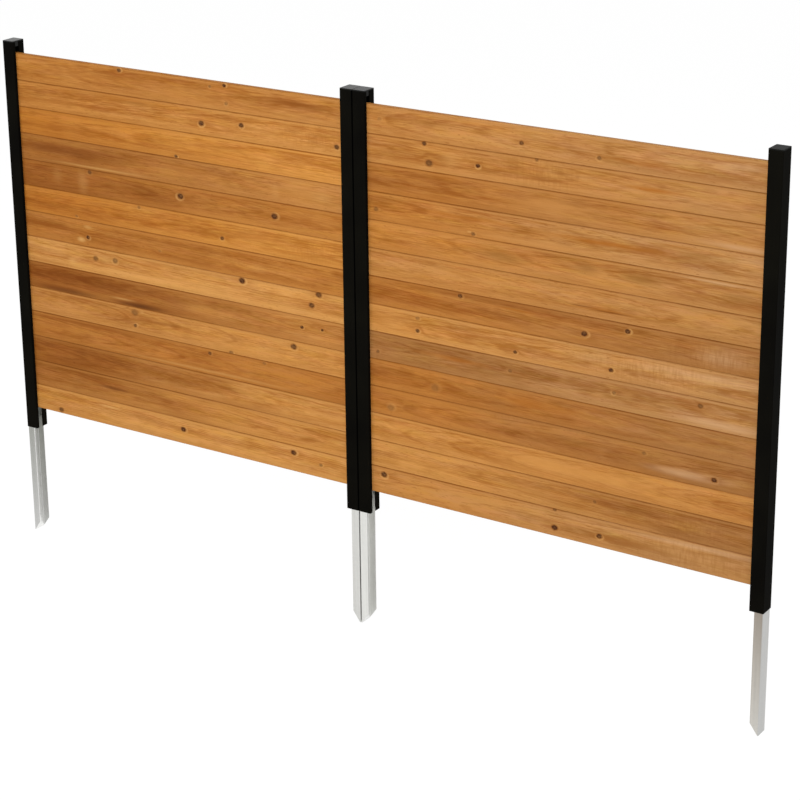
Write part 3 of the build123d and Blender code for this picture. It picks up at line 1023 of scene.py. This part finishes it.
def white_floor(height):
    """A wide pale floor that looks white to the camera and still holds a soft shadow."""
    half = FLOOR_SIZE / 2
    corners = [(-half, -half, height), (half, -half, height), (half, half, height), (-half, half, height)]
    mesh = bpy.data.meshes.new("floor")
    mesh.from_pydata(corners, [], [(0, 1, 2, 3)])
    floor = bpy.data.objects.new("floor", mesh)
    bpy.context.scene.collection.objects.link(floor)
    finish = new_material("matt_white_floor")
    tree = finish.node_tree
    paint = add_node(tree, "BsdfDiffuse", {"Color": opaque(linear("#F4F4F4"))})[0]
    glow = add_node(tree, "Emission", {"Color": opaque(linear("#FFFFFF")), "Strength": FLOOR_GLOW})[0]
    share = add_node(tree, "Math", {0: seen_plainly(tree), 1: 1 - FLOOR_SHADE}, operation="MULTIPLY")[0]
    surface = add_node(tree, "MixShader", {0: share, 1: paint, 2: glow})[0]
    add_node(tree, "OutputMaterial", {"Surface": surface})
    mesh.materials.append(finish)


def white_room(strength):
    """A white surround: plain white where it is seen or mirrored, and softer where it only gives light."""
    world = bpy.data.worlds.new("white_room")
    world.use_nodes = True
    bpy.context.scene.world = world
    tree = world.node_tree
    tree.nodes.clear()
    level = add_node(tree, "MapRange", {"Value": seen_plainly(tree), "To Min": strength, "To Max": 1.0})[0]
    light = add_node(tree, "Background", {"Color": opaque(linear("#FFFFFF")), "Strength": level})[0]
    add_node(tree, "OutputWorld", {"Surface": light})


def lamp(name, place, target, width, power):
    """A square soft lamp that faces a point of the screen."""
    data = bpy.data.lights.new(name, "AREA")
    data.size = width
    data.energy = power
    made = bpy.data.objects.new(name, data)
    made.location = place
    made.rotation_euler = (Vector(target) - Vector(place)).to_track_quat("-Z", "Y").to_euler()
    bpy.context.scene.collection.objects.link(made)


def camera(stage):
    """A camera at the photograph's place, with a small shift that brings the posts nearer to upright."""
    data = bpy.data.cameras.new("camera")
    data.sensor_width = SENSOR_WIDTH
    data.lens = stage.focal_pixels / PICTURE_WIDTH * SENSOR_WIDTH
    data.shift_y = -stage.shift
    data.clip_end = CLIP_END
    made = bpy.data.objects.new("camera", data)
    turn = Matrix.Rotation(stage.camera_turn, 4, "Z")
    tilt = Matrix.Rotation(math.radians(90) - stage.camera_tilt, 4, "X")
    roll = Matrix.Rotation(-stage.camera_roll, 4, "Z")
    made.matrix_world = Matrix.Translation(stage.camera_place) @ turn @ tilt @ roll
    bpy.context.scene.collection.objects.link(made)
    bpy.context.scene.camera = made


class PRIVACY_OT_stage(bpy.types.Operator):
    """Adds the floor, the white room, the lamps and the camera"""

    bl_idname = "privacy.stage"
    bl_label = "Set stage"

    def execute(self, context):
        stage = context.scene.privacy_stage
        low, high = CAD_BOX
        middle = (low + high) / 2
        white_floor(low.z - FLOOR_GAP * MM)
        white_room(stage.daylight)
        for name, (place, width) in LAMPS.items():
            lamp(f"{name}_lamp", place, middle, width, getattr(stage, f"{name}_power"))
        camera(stage)
        context.scene.view_settings.view_transform = "Standard"
        return {"FINISHED"}


OPERATORS = (
    PRIVACY_OT_boards,
    PRIVACY_OT_posts,
    PRIVACY_OT_caps,
    PRIVACY_OT_stakes,
    PRIVACY_OT_fasteners,
    PRIVACY_OT_stage,
)


class PRIVACY_PT_screen(bpy.types.Panel):
    """Lists the steps that finish the screen"""

    bl_idname = "PRIVACY_PT_screen"
    bl_label = "Privacy Screen"
    bl_space_type = "VIEW_3D"
    bl_region_type = "UI"
    bl_category = "Privacy Screen"

    def draw(self, context):
        for operator in OPERATORS:
            self.layout.operator(operator.bl_idname)
        scene = context.scene
        for group in (scene.privacy_boards, scene.privacy_metals, scene.privacy_stage):
            box = self.layout.box()
            for name in group.__annotations__:
                box.prop(group, name)


CLASSES = (BoardLook, MetalLook, StageLook, *OPERATORS, PRIVACY_PT_screen)


def register():
    """Adds the classes, and the settings that the scene holds."""
    for kind in CLASSES:
        bpy.utils.register_class(kind)
    bpy.types.Scene.privacy_boards = bpy.props.PointerProperty(type=BoardLook)
    bpy.types.Scene.privacy_metals = bpy.props.PointerProperty(type=MetalLook)
    bpy.types.Scene.privacy_stage = bpy.props.PointerProperty(type=StageLook)


def unregister():
    """Takes the settings and the classes away again."""
    del bpy.types.Scene.privacy_stage
    del bpy.types.Scene.privacy_metals
    del bpy.types.Scene.privacy_boards
    for kind in reversed(CLASSES):
        bpy.utils.unregister_class(kind)


def main():
    """Finishes the screen and sets the stage."""
    register()
    bpy.ops.privacy.boards()
    bpy.ops.privacy.posts()
    bpy.ops.privacy.caps()
    bpy.ops.privacy.stakes()
    bpy.ops.privacy.fasteners()
    bpy.ops.privacy.stage()


if __name__ == "__main__":
    main()
